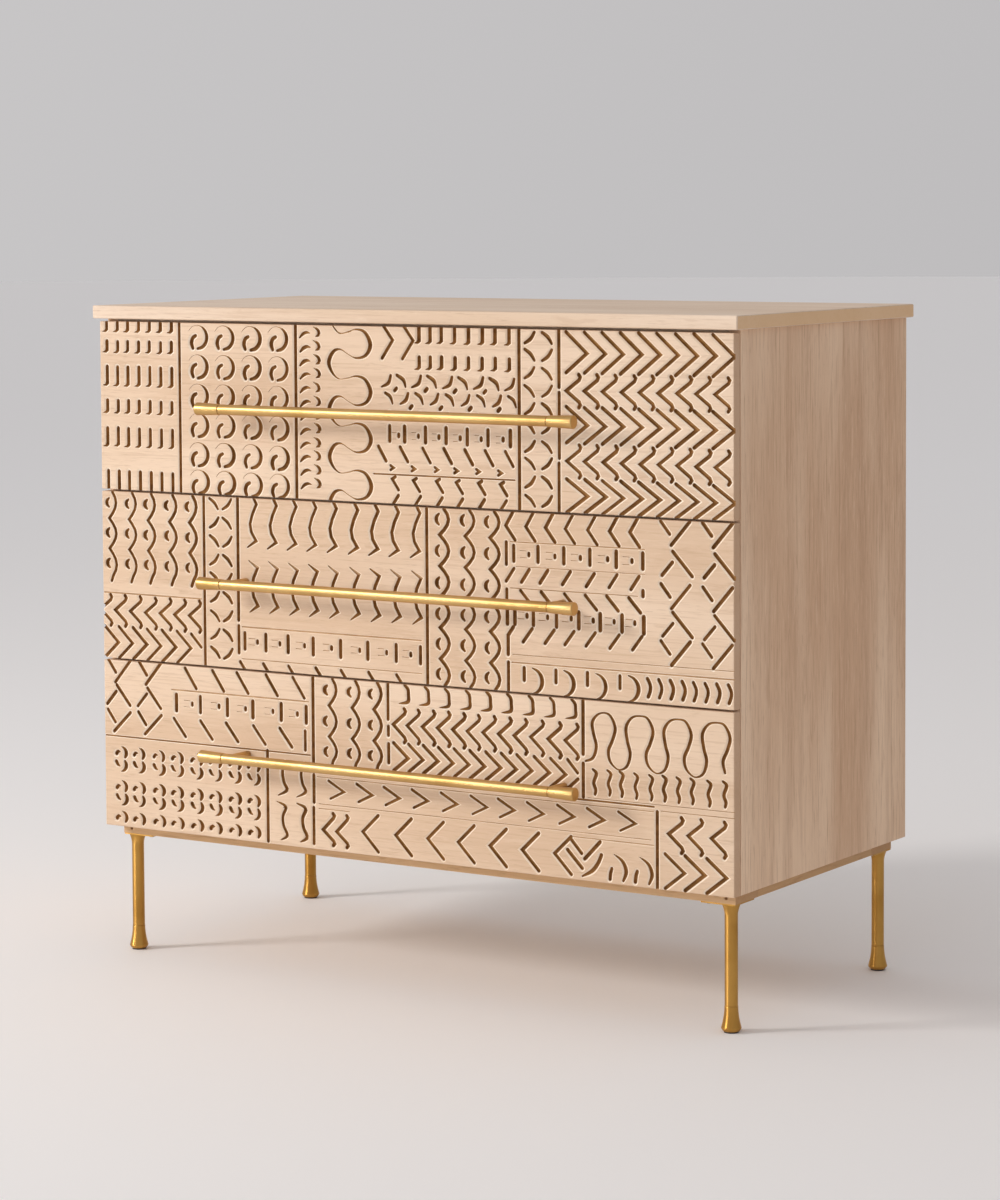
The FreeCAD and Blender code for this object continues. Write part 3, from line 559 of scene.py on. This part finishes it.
def lowerStrokes(layout):
    strokes = uprights(layout["dividers"])
    for x in (6, 60):
        strokes += [line((x, -2), (x + 14, 17)), line((x + 42, -3), (x + 13, 31))]
        strokes += [line((x + 15, 35), (x + 38, 62)), line((x + 14, 44), (x - 2, 62))]
        strokes += [line((x - 1, 70), (x + 12, 87)), line((x + 39, 72), (x + 10, 100))]
    strokes += slants((141, 188, 230, 279, 324), 3, 30, 19)
    strokes.append(scribe(119, 350, 34))
    strokes += tallies((126, 167, 213, 256, 304, 345), ((41, 63),))
    strokes += studs((153, 199, 244, 290, 331), 52)
    strokes += slants((121, 167, 211, 257, 301), 74, 98, 20)
    strokes += [line((344, 74), (344, 100)), scribe(-6, 352, 106)]
    for x in layout["curlColumns"]:   # small curls in facing pairs, the lowest one alone
        for y in layout["curlRows"]:
            strokes.append(ring(x, y - 7, 9.5, -75, 35, (0.35, 0.8, 1.15, 1.2, 0.8)))
            strokes.append(curve((x - 8, y - 6, 1.15), (x - 5, y - 9, 1.0), (x - 1, y - 9, 0.4)))
            if y < max(layout["curlRows"]):
                strokes.append(ring(x, y + 9, 9.5, -35, 80, (0.8, 1.2, 1.15, 0.8, 0.35)))
                strokes.append(curve((x - 8, y + 5, 1.15), (x - 5, y + 9, 1.0), (x - 1, y + 11, 0.4)))
    strokes += [curve((x, 118, 0.8), (x - 5, 132), (x - 3, 146), (x + 2, 157), (x - 12, 165, 0.4))
                for x in (310, 341)]
    strokes += [curve((x - 14, 174, 0.4), (x, 180), (x - 5, 193), (x - 4, 206), (x + 2, 219), (x - 8, 226, 0.4))
                for x in (310, 343)]
    strokes += [scallops(x, (37, 79), 12, ((4, -6), (4, 118))) for x in (383, 421, 456)]
    strokes += commas((377, 416, 450), (16, 58, 99))
    strokes += [curve((x - 6, 1, 0.8), (x - 1, 6), (x, 14), (x - 1, 23), (x - 14, 26, 0.35))
                for x in spaced(511, 32.2, 9)]
    strokes += hookedArrows((487, 509, 533, 557, 581, 604, 628, 652, 676, 701, 728, 753), 54, 19, 32, 77)
    strokes += arrows((510, 534, 557, 581, 606, 630, 655, 679, 703, 729, 754), 98, -23, 79, 116)
    strokes += [line((757, 79), (772, 95)), line((772, 103), (757, 116))]
    strokes += [scribe(363, 884, 128, 0.5), scribe(363, 884, 134, 0.3)]
    strokes += [line((x - 25, 139, 0.8), (x, 152, 0.85), (x - 22, 163, 0.7))
                for x in (406, 452, 496, 541, 587, 633, 676, 720, 766, 811, 857)]
    strokes += [scribe(366, 880, 171, 0.24), scribe(366, 416, 177, 0.3), scribe(765, 884, 177, 0.3)]
    strokes += hookedArrows((372, 394), 206, 18, 183, 226, 6)
    strokes += arrows((437, 490, 541, 589, 638, 688, 737), 202, 25, 178, 227)
    strokes += [line((761, 181), (777, 198)), line((805, 181), (782, 205)), line((756, 195), (778, 217)),
                curve((807, 197), (802, 208), (793, 219), (779, 227, 0.5))]
    for x in (820, 858):
        strokes.append(curve((x + 2, 213, 0.9), (x, 219), (x - 1, 227)))
        strokes.append(curve((x + 6, 195, 0.35), (x + 18, 203, 0.9), (x + 23, 216, 1.1), (x + 19, 228, 0.7)))
    meander = [(784, 78, 0.6), (795, 73, 0.9), (800, 58), (796, 42), (794, 28), (801, 18, 0.7)]
    for x in spaced(811, 55.3, 4):
        meander += [(x, 14, 0.5), (x + 10, 17, 0.75), (x + 17, 32), (x + 13, 48), (x + 7, 62), (x + 10, 76, 0.8),
                    (x + 22, 85, 0.45), (x + 34, 80, 0.8), (x + 39, 64), (x + 35, 48), (x + 33, 30),
                    (x + 42, 17, 0.7)]
    strokes.append(curve(*meander[:-6]))
    strokes += [curve((x - 4, 88, 0.7), (x + 1, 93), (x - 3, 105), (x, 114), (x - 1, 120, 0.8))
                for x in (799, 820, 838, 860, 881, 901, 921, 941, 965, 988)]
    strokes += [scribe(788, 1006, 125, 0.2), scribe(895, 1006, 133, 0.24)]
    strokes += hookedArrows((905, 934, 967), 161, 20, 139, 184)
    strokes += arrows((928, 957, 988), 209, -28, 187, 231)
    return strokes


def strokePath(stroke, look):
    points = [(*point, 1.0)[:3] for point in stroke["points"]]
    if not stroke["curved"]:
        return points
    padded = [points[0]] + points + [points[-1]]
    path = []
    for before, start, end, after in zip(padded, padded[1:], padded[2:], padded[3:]):
        for step in range(look["curveSteps"]):
            t = step / look["curveSteps"]
            path.append(tuple(0.5 * (2 * start[i] + (end[i] - before[i]) * t
                                     + (2 * before[i] - 5 * start[i] + 4 * end[i] - after[i]) * t * t
                                     + (3 * start[i] - before[i] - 3 * end[i] + after[i]) * t ** 3)
                              for i in range(3)))
    return path + [points[-1]]


def addGroove(bm, path, curved, look, toFront):
    count = len(path)
    spots = [Vector(point[:2]) for point in path]
    shares = [point[2] for point in path]
    ways = [(second - first).normalized() for first, second in zip(spots, spots[1:])]
    sides = []
    limits = []   # no wider than the bend allows
    for index in range(count):
        before = ways[max(index - 1, 0)]
        after = ways[min(index, count - 2)]
        along = (before + after).normalized()
        sides.append(Vector((-along.y, along.x)) / max(along.dot(after), look["mitre"]))
        turn = before.angle(after, 0)
        step = (spots[min(index + 1, count - 1)] - spots[max(index - 1, 0)]).length / 2
        limits.append(look["bend"] * step / turn if curved and turn > look["straight"] else math.inf)
    rings = []
    for level in range(4):   # proud of the face, then the foot of the rim, the wall and the floor
        halves = []
        depths = []
        for share, limit in zip(shares, limits):
            half = look["width"] * share / 2
            rimDepth = look["rimDepth"] * share
            deep = look["depth"] * max(share, look["shallow"])
            mouth = half + look["rim"] * share * (1 + look["proud"] / rimDepth)
            halves.append(min((mouth, half, half * look["wall"], half * look["floor"])[level], limit))
            depths.append((-look["proud"], rimDepth, rimDepth + (deep - rimDepth) * look["wallDepth"], deep)[level])
        ringSpots = [(spots[index] + sides[index] * halves[index], depths[index]) for index in range(count)]
        for end, way in ((-1, ways[-1]), (0, -ways[0])):   # each end is round
            side = Vector((-way.y, way.x))
            for step in range(1, look["capSteps"]):
                angle = math.pi * step / look["capSteps"]
                reach = side * math.cos(angle) + way * math.sin(angle)
                ringSpots.append((spots[end] + halves[end] * reach, depths[end]))
            if end == -1:
                ringSpots += [(spots[index] - sides[index] * halves[index], depths[index])
                              for index in reversed(range(count))]
        rings.append([bm.verts.new(toFront(spot.x, spot.y, depth)) for spot, depth in ringSpots])

    def stainAndShade(share):   # slot of the brown stain with painted shade, or of the paler one for shallow cuts
        return 2 if share < look["faint"] else 1
    caps = look["capSteps"] - 1
    ringShares = shares + [shares[-1]] * caps + shares[::-1] + [shares[0]] * caps
    for level in range(3):
        for face, share in zip(band(bm, rings[level], rings[level + 1]), ringShares):
            face.material_index = 3 if level == 0 else stainAndShade(share)
    for ringVerts in (rings[0], rings[-1]):   # a strip of quads, with a fan at each round end
        lefts = ringVerts[:count]
        endCap = ringVerts[count:count + caps]
        rights = ringVerts[count + caps:2 * count + caps][::-1]
        startCap = ringVerts[2 * count + caps:]
        for index in range(count - 1):
            face = bm.faces.new((lefts[index], lefts[index + 1], rights[index + 1], rights[index]))
            face.material_index = stainAndShade(shares[index])
        for share, verts in ((shares[-1], [lefts[-1]] + endCap + [rights[-1]]),
                             (shares[0], [rights[0]] + startCap + [lefts[0]])):
            bm.faces.new(verts).material_index = stainAndShade(share)


def footprint(path, look):   # the square millimetres a stroke may touch
    cells = set()
    for (x, y, share), (nextX, nextY, nextShare) in zip(path, path[1:]):
        reach = (look["width"] / 2 + look["rim"]) * max(share, nextShare) + look["spare"]
        steps = max(1, round(math.hypot(nextX - x, nextY - y)))
        for step in range(steps + 1):
            spotX = x + (nextX - x) * step / steps
            spotY = y + (nextY - y) * step / steps
            for cellX in range(math.floor(spotX - reach), math.floor(spotX + reach) + 1):
                for cellY in range(math.floor(spotY - reach), math.floor(spotY + reach) + 1):
                    cells.add((cellX, cellY))
    return cells


def carve(board, cutter, materials):
    tool = newPiece("cutter", outward(cutter), materials)
    cut = board.modifiers.new("carve", "BOOLEAN")
    cut.operation = "DIFFERENCE"
    cut.object = tool
    cut.solver = "MANIFOLD"
    bpy.context.view_layer.update()
    carved = bpy.data.meshes.new_from_object(board.evaluated_get(bpy.context.evaluated_depsgraph_get()))
    board.modifiers.clear()
    board.data = carved
    bpy.data.objects.remove(tool)


def makeFront(name, strokes, look):
    node = name + "_front"
    low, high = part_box(node)
    materials = [frontWood[name], grooveStainAndShade, faintStainAndShade, cutRimAndHighlight]
    bm = bmesh.new()
    roundedBox(bm, low, high, look["ease"] * mm)
    for axis, count in zip((0, 2), look["cells"]):   # small cells keep the carved face in tidy polygons
        for step in range(1, count):
            across = Vector([1 if axis == index else 0 for index in range(3)])
            bmesh.ops.bisect_plane(bm, geom=bm.verts[:] + bm.edges[:] + bm.faces[:],
                                   plane_co=low.lerp(high, step / count), plane_no=across)
    board = newPiece(name + "CarvedFront", bm, materials)

    def toFront(right, down, deep):
        return Vector((low.x + right * mm, low.y + deep * mm, high.z - down * mm))
    passes = []   # strokes that touch each other are cut in different passes
    for stroke in strokes:
        slide = [wobble.uniform(-look["wobble"], look["wobble"]) for axis in range(2)]
        bold = 1 + look["bolder"] * wobble.uniform(-1, 1)
        path = [(x + slide[0], y + slide[1], share * bold) for x, y, share in strokePath(stroke, look)]
        cells = footprint(path, look)
        for taken, cutter in passes:
            if taken.isdisjoint(cells):
                break
        else:
            taken, cutter = set(), bmesh.new()
            passes.append((taken, cutter))
        taken |= cells
        addGroove(cutter, path, stroke["curved"], look, toFront)
    for taken, cutter in passes:
        carve(board, cutter, materials)
    shadeSoft(board.data, look["sharp"])
    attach(board, name + "_drawer")
    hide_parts(node)
    print(node, "carved:", len(strokes), "strokes,", len(passes), "passes,", len(board.data.polygons), "faces")


makeFront("upper", upperStrokes(upperLayout), carving)
makeFront("middle", middleStrokes(middleLayout), carving)
makeFront("lower", lowerStrokes(lowerLayout), carving)


# bar handles: a rod with a flared, round-edged ferrule at each end
handleLook = {"ferrule": 38, "neckShare": 0.846, "rodShare": 0.8, "endShare": 0.6, "rim": 1.4, "lip": (0.5, 0.4),
              "seam": 0.7, "seamSlope": (0.1, 0.2), "steps": 56, "sharp": 35}


def makeBar(name, look):
    low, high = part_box(name + "_handle_bar")
    length = (high.x - low.x) / mm
    radius = (high.z - low.z) / 2 / mm
    neck = radius * look["neckShare"]
    rod = radius * look["rodShare"]
    ferrule, rim, seam = look["ferrule"], look["rim"], look["seam"]
    lip, drop = look["lip"]
    slopeIn, slopeOut = look["seamSlope"]
    half = [(0, 0), (0, radius * look["endShare"])]
    half += corner(rim, radius - rim, rim, -90, 0)
    half += [(ferrule / 2, (radius + neck) / 2), (ferrule - lip, neck), (ferrule, neck - drop),
             (ferrule + slopeIn, rod - seam), (ferrule + seam, rod - seam), (ferrule + seam + slopeOut, rod)]
    profile = half + [(length - along, size) for along, size in reversed(half)]
    turn = Matrix.Translation(Vector((low.x, (low.y + high.y) / 2, (low.z + high.z) / 2)))
    turn = turn @ Matrix.Rotation(math.pi / 2, 4, "Y") @ Matrix.Scale(mm, 4)
    bm = bmesh.new()
    lathe(bm, profile, turn, look["steps"])
    bar = newPiece(name + "BarHandle", outward(bm), [barBrass], look["sharp"])
    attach(bar, name + "_drawer")
    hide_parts(name + "_handle_bar")


for name in drawers:
    makeBar(name, handleLook)
print("bar handles turned")


# legs and feet: turned brass, flared under the plate and at the floor
legLook = {"shaft": 8.5, "ease": 0.3, "flare": 14.0, "flareBend": 1.7, "foot": 32.0, "footBend": 1.9, "belly": 4.2,
           "bellySteps": 6, "sole": 10.6, "collar": 8.75, "lip": (0.5, 0.1, 0.35), "sharp": 40}


def sweep(start, end, rise, bend, steps=12):   # a flare that leaves the shaft smoothly
    return [(rise * step / steps, start + (end - start) * (step / steps) ** bend) for step in range(steps + 1)]


def makeLegs(look):
    shaft, foot, belly, sole, collar = (look[key] for key in ("shaft", "foot", "belly", "sole", "collar"))
    lipLow, lipHigh, lipDrop = look["lip"]
    legs = bmesh.new()
    feet = bmesh.new()
    for (low, high), (footLow, footHigh) in zip(islands("legs"), islands("leg_feet")):
        middle = (low + high) / 2
        height = (high.z - low.z) / mm
        top = (high.x - low.x) / 2 / mm
        profile = [(0, 0), (0, shaft - look["ease"]), (look["ease"], shaft)]
        profile += [(height - look["flare"] + along, radius)
                    for along, radius in sweep(shaft, top, look["flare"], look["flareBend"])]
        profile += [(height, 0)]
        lathe(legs, profile, Matrix.Translation((middle.x, middle.y, low.z)) @ Matrix.Scale(mm, 4))
        wide = (footHigh.x - footLow.x) / 2 / mm
        profile = [(0, 0), (0, sole)]
        for step in range(1, look["bellySteps"]):
            share = math.sin(math.pi / 2 * step / look["bellySteps"])
            profile.append((belly * step / look["bellySteps"], sole + (wide - sole) * share))
        profile += [(foot - along, radius)
                    for along, radius in reversed(sweep(collar, wide, foot - belly, look["footBend"])[1:])]
        profile += [(foot - lipLow, collar), (foot - lipHigh, collar - lipDrop), (foot, shaft), (foot, 0)]
        lathe(feet, profile, Matrix.Translation((middle.x, middle.y, footLow.z)) @ Matrix.Scale(mm, 4))
    for bm, name, node in ((legs, "turnedLegs", "legs"), (feet, "trumpetFeet", "leg_feet")):
        piece = newPiece(name, outward(bm), [legBrass], look["sharp"])
        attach(piece, "case")
        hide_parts(node)


makeLegs(legLook)
print("legs turned")


# pan-head screws with a cross recess and a threaded shank
screwLook = {"tall": 0.5, "shank": 0.5, "flat": 0.55, "round": 0.45, "dome": 0.8, "domeSteps": 5, "neck": 0.9,
             "root": 0.72, "crest": 0.98, "bare": 1.0, "point": 2.5, "thread": 1.3, "arm": 0.56, "slot": 0.15,
             "recess": 0.62, "taper": 0.6, "above": 0.5, "steps": 20, "turn": 0.7, "sharp": 35}


def makeScrew(head, headHeight, shank, length, look):
    profile = [(0, 0), (0, head * look["flat"])]
    for step in range(1, look["domeSteps"] + 1):
        angle = math.pi / 2 * step / look["domeSteps"]
        profile.append((headHeight * (1 - math.cos(angle)) * look["dome"],
                        head * (look["flat"] + look["round"] * math.sin(angle))))
    profile += [(headHeight, head), (headHeight, shank * look["neck"])]
    along = headHeight + look["bare"]
    while along + look["thread"] < length - look["point"]:
        profile += [(along, shank * look["root"]), (along + look["thread"] / 2, shank * look["crest"])]
        along += look["thread"]
    profile += [(along, shank * look["root"]), (length, 0)]
    body = bmesh.new()
    lathe(body, profile, Matrix.Scale(mm, 4), look["steps"])
    screw = newPiece("screw", outward(body), [zincSteel])
    arm = head * look["arm"] * mm
    slot = head * look["slot"] * mm
    cross = [(slot, slot), (arm, slot), (arm, -slot), (slot, -slot), (slot, -arm), (-slot, -arm), (-slot, -slot),
             (-arm, -slot), (-arm, slot), (-slot, slot), (-slot, arm), (slot, arm)]
    cutter = bmesh.new()
    mouth = [cutter.verts.new((x, y, -look["above"] * mm)) for x, y in cross]
    tip = [cutter.verts.new((x * look["taper"], y * look["taper"], headHeight * look["recess"] * mm))
           for x, y in cross]
    cutter.faces.new(mouth)
    cutter.faces.new(tip)
    band(cutter, mouth, tip)
    carve(screw, cutter, [zincSteel])
    mesh = screw.data
    bpy.data.objects.remove(screw)
    return mesh


# spots of (head middle, head radius, head height, shank radius, length)
def setScrews(name, spots, way, body, nodes, look):
    bm = bmesh.new()
    kinds = {}
    turn = Vector(way).to_track_quat("Z", "Y").to_matrix().to_4x4()
    for count, (place, *shape) in enumerate(spots):
        key = tuple(round(value, 2) for value in shape)
        if key not in kinds:
            kinds[key] = makeScrew(*key, look)
        made = bmesh.new()
        made.from_mesh(kinds[key])
        made.transform(Matrix.Translation(place) @ turn @ Matrix.Rotation(look["turn"] * count, 4, "Z"))
        holder = bpy.data.meshes.new("holder")
        made.to_mesh(holder)
        made.free()
        bm.from_mesh(holder)
        bpy.data.meshes.remove(holder)
    piece = newPiece(name, bm, [zincSteel], look["sharp"])
    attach(piece, body)
    if nodes:
        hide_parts(*nodes)


def screwSpots(node, axis, headAtLow, look):   # the screws of a CAD node, measured from its solids
    spots = []
    for low, high in islands(node):
        middle = (low + high) / 2
        middle[axis] = low[axis] if headAtLow else high[axis]
        head = min(high[index] - low[index] for index in range(3) if index != axis) / 2 / mm
        spots.append((middle, head, head * look["tall"], head * look["shank"], (high[axis] - low[axis]) / mm))
    return spots


for name, node in (("caseScrews", "case_screws"), ("legScrews", "leg_screws")):
    setScrews(name, screwSpots(node, 2, True, screwLook), (0, 0, 1), "case", [node], screwLook)
for name in drawers:
    node = name + "_drawer_screws"
    setScrews(name + "DrawerScrews", screwSpots(node, 1, False, screwLook), (0, -1, 0), name + "_drawer", [node],
              screwLook)

# small screws round the edge of the back panel
backLook = {"inset": 9, "head": 3.0, "headHeight": 1.4, "shank": 1.4, "length": 7, "across": 6, "up": 5}


def backSpots(look):
    low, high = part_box("back_panel")
    left, right = low.x + look["inset"] * mm, high.x - look["inset"] * mm
    bottom, top = low.z + look["inset"] * mm, high.z - look["inset"] * mm
    places = [(left + (right - left) * step / (look["across"] - 1), z) for step in range(look["across"])
              for z in (bottom, top)]
    places += [(x, bottom + (top - bottom) * step / (look["up"] - 1)) for step in range(1, look["up"] - 1)
               for x in (left, right)]
    return [(Vector((x, high.y + look["headHeight"] * mm, z)), look["head"], look["headHeight"], look["shank"],
             look["length"]) for x, z in places]


setScrews("backScrews", backSpots(backLook), (0, -1, 0), "case", [], screwLook)


# ball cages: a thin retainer with two rows of bearing balls; small heads hold the inner rails
cageLook = {"sheet": 0.8, "edge": 0.2, "ball": 1.95, "ballSteps": 8, "ballSides": 12, "row": 2.0, "pitch": 12,
            "end": 9, "sharp": 40, "railSheet": 1.2, "head": 3.2, "headHeight": 1.5, "shank": 1.6, "length": 8,
            "headEnds": 38}


def makeCages(name, look):
    sheet, edge, row, end = (look[key] * mm for key in ("sheet", "edge", "row", "end"))
    bm = bmesh.new()
    for low, high in islands(name + "_ball_cages"):
        outer = low.x < 0   # the web lies on the case side
        web = (low.x, low.x + sheet) if outer else (high.x - sheet, high.x)
        inside = (web[1], high.x) if outer else (low.x, web[0])
        roundedBox(bm, Vector((web[0], low.y, low.z + row - sheet / 2)),
                   Vector((web[1], high.y, high.z - row + sheet / 2)), edge)
        count = int((high.y - low.y) / mm - 2 * look["end"]) // look["pitch"]
        radius = min(look["ball"] * mm, (inside[1] - inside[0]) / 2)
        angles = [math.pi * step / look["ballSteps"] for step in range(look["ballSteps"] + 1)]
        profile = [(-radius * math.cos(angle), radius * math.sin(angle)) for angle in angles]
        for z in (low.z + row, high.z - row):
            roundedBox(bm, Vector((inside[0], low.y, z - sheet / 2)),
                       Vector((inside[1], high.y, z + sheet / 2)), edge)
            for step in range(count + 1):
                y = low.y + end + (high.y - low.y - 2 * end) * step / count
                place = Matrix.Translation(((inside[0] + inside[1]) / 2, y, z))
                lathe(bm, profile, place, look["ballSides"])
    cages = newPiece(name + "BallCages", outward(bm), [zincSteel], look["sharp"])
    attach(cages, name + "_cages")
    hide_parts(name + "_ball_cages")
    for (low, high), way in zip(islands(name + "_slide_inners"), (1, -1)):
        face = high.x - look["railSheet"] * mm if way > 0 else low.x + look["railSheet"] * mm
        ends = look["headEnds"] * mm
        spots = [(Vector((face - way * look["headHeight"] * mm, y, (low.z + high.z) / 2)), look["head"],
                  look["headHeight"], look["shank"], look["length"])
                 for y in (low.y + ends, (low.y + high.y) / 2, high.y - ends)]
        side = "Left" if way > 0 else "Right"
        setScrews(name + side + "RailScrews", spots, (way, 0, 0), name + "_drawer", [], screwLook)


for name in drawers:
    makeCages(name, cageLook)
print("screws and ball cages set")


# finishes of the CAD boards and fittings, with lightly eased edges
finishes = {
    "top_panel": acrossWood, "left_side_panel": uprightWood, "right_side_panel": uprightWood,
    "bottom_panel": acrossWood, "back_panel": plyAcross, "front_top_rail": acrossWood,
    "back_top_rail": acrossWood, "lower_divider_rail": acrossWood, "upper_divider_rail": acrossWood,
    "case_tenons": boxAcrossWood, "base_front_rail": baseAcross,
    "base_back_rail": baseAcross, "base_left_rail": baseDepth, "base_right_rail": baseDepth,
    "leg_plates": legBrass, "leg_glides": blackPlastic, "drawer_bumpers": clearRubber,
}
drawerFinishes = {
    "box_front": boxAcrossWood, "box_back": boxAcrossWood, "left_side": boxDepthWood, "right_side": boxDepthWood,
    "bottom": plyAcross, "handle_posts": barBrass, "slide_inners": zincSteel, "slide_outers": zincSteel,
}
easing = {acrossWood: 0.9, uprightWood: 0.9, baseAcross: 0.9, baseDepth: 0.9, boxAcrossWood: 0.5, boxDepthWood: 0.5,
          plyAcross: 0.3, legBrass: 0.4, zincSteel: 0.15, blackPlastic: 0.4, clearRubber: 0.5, barBrass: 0.2}
edgeLook = {"weld": 0.00001, "segments": 2, "sharp": 35}


def dress(node, material):
    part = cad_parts[node]
    if part.material_slots:
        part.material_slots[0].link = "OBJECT"
        part.material_slots[0].material = material
    else:
        part.data.materials.append(material)
    weld = part.modifiers.new("weld", "WELD")
    weld.merge_threshold = edgeLook["weld"]
    bevel = part.modifiers.new("easing", "BEVEL")
    bevel.width = easing[material] * mm
    bevel.segments = edgeLook["segments"]
    bevel.limit_method = "ANGLE"
    bevel.angle_limit = math.radians(edgeLook["sharp"])
    bevel.harden_normals = True


for node, material in finishes.items():
    dress(node, material)
for name in drawers:
    for part, material in drawerFinishes.items():
        dress(f"{name}_{part}", material)
print("boards and fittings dressed")


# a plain pale floor
stageLook = {"near": tone(249, 247, 246), "far": tone(253, 252, 252), "fade": (2.5, 9.0), "rough": 0.6, "grit": 0.12,
             "gloss": 0.12, "radius": 40, "steps": 72}


def makeStage(look):
    paint = Paint("floorPaint")
    away = paint.add("ShaderNodeVectorMath", {"operation": "LENGTH"}, {0: paint.spot((1, 1, 1))}, "Value")
    fine = paint.noise(paint.spot((45, 45, 45)), detail=2)
    paint.surface({"Base Color": paint.mix(paint.ramp(away, *look["fade"]), look["near"], look["far"]),
                   "Roughness": look["rough"] + look["grit"] * fine, "Specular IOR Level": look["gloss"]})
    bm = bmesh.new()
    bm.faces.new([bm.verts.new((x, y, 0)) for x, y in circle(look["radius"], look["steps"])])
    newPiece("paleFloor", bm, [paint.material])


makeStage(stageLook)

# key from the upper left front, and a low front light for the brass; a narrow beam spares the floor beside a lamp
lampLooks = {"keyLamp": {"power": 149, "size": 1.5, "place": (-4.5, -4.3, 2.9), "colour": (1.0, 0.975, 0.945),
                         "spread": 150},
             "lowLamp": {"power": 1.05, "size": 0.5, "place": (-1.7, -3.8, 0.42), "colour": (1.0, 0.97, 0.94),
                         "spread": 50}}
lampAim = Vector((0, 0, 0.5))


def addLamp(name, look):
    lamp = bpy.data.lights.new(name, "AREA")
    lamp.spread = math.radians(look["spread"])
    lamp.shape = "DISK"
    lamp.size = look["size"]
    lamp.energy = look["power"]
    lamp.color = look["colour"]
    holder = bpy.data.objects.new(name, lamp)
    holder.location = look["place"]
    holder.rotation_euler = (lampAim - Vector(look["place"])).to_track_quat("-Z", "Y").to_euler()
    holder.visible_camera = False
    bpy.context.scene.collection.objects.link(holder)


for name, look in lampLooks.items():
    addLamp(name, look)

# the room is a soft fill, brighter on the key's side and dimmer behind on the right
roomLook = {"strength": 1.0, "brightWay": (-0.8, -0.55, 0.24), "bright": tone(222, 220, 220),
            "dim": tone(164, 162, 164)}


def makeRoom(look):
    room = Paint("studio", bpy.data.worlds.new("studio"))
    way = room.add("ShaderNodeTexCoord", {}, {}, "Generated")
    side = room.add("ShaderNodeVectorMath", {"operation": "DOT_PRODUCT"}, {0: way, 1: look["brightWay"]}, "Value")
    colour = room.mix(side * 0.5 + 0.5, look["dim"], look["bright"])
    backing = room.add("ShaderNodeBackground", {}, {"Color": colour, "Strength": look["strength"]})
    room.add("ShaderNodeOutputWorld", {}, {"Surface": backing})
    bpy.context.scene.world = room.material


makeRoom(roomLook)

# camera at the photograph's viewing angle
cameraLook = {"place": (2.55575, -3.98662, 1.05545), "turn": 32.477, "pitch": -3.789, "roll": -0.308,
              "focal": 3474.3, "imageHeight": 1200, "shift": -174, "sensor": 36, "reach": 50}
camera = bpy.data.cameras.new("camera")
camera.sensor_width = cameraLook["sensor"]
camera.lens = cameraLook["sensor"] * cameraLook["focal"] / cameraLook["imageHeight"]
camera.shift_y = cameraLook["shift"] / cameraLook["imageHeight"]
camera.clip_end = cameraLook["reach"]
view = bpy.data.objects.new("camera", camera)
tilt = Euler((math.radians(90 + cameraLook["pitch"]), 0, math.radians(cameraLook["turn"]))).to_matrix()
view.matrix_world = Matrix.Translation(cameraLook["place"]) @ (
    tilt @ Matrix.Rotation(math.radians(cameraLook["roll"]), 3, "Z")).to_4x4()
bpy.context.scene.collection.objects.link(view)
bpy.context.scene.camera = view
bpy.context.scene.view_settings.view_transform = "Standard"
print("stage, lamps and camera set")
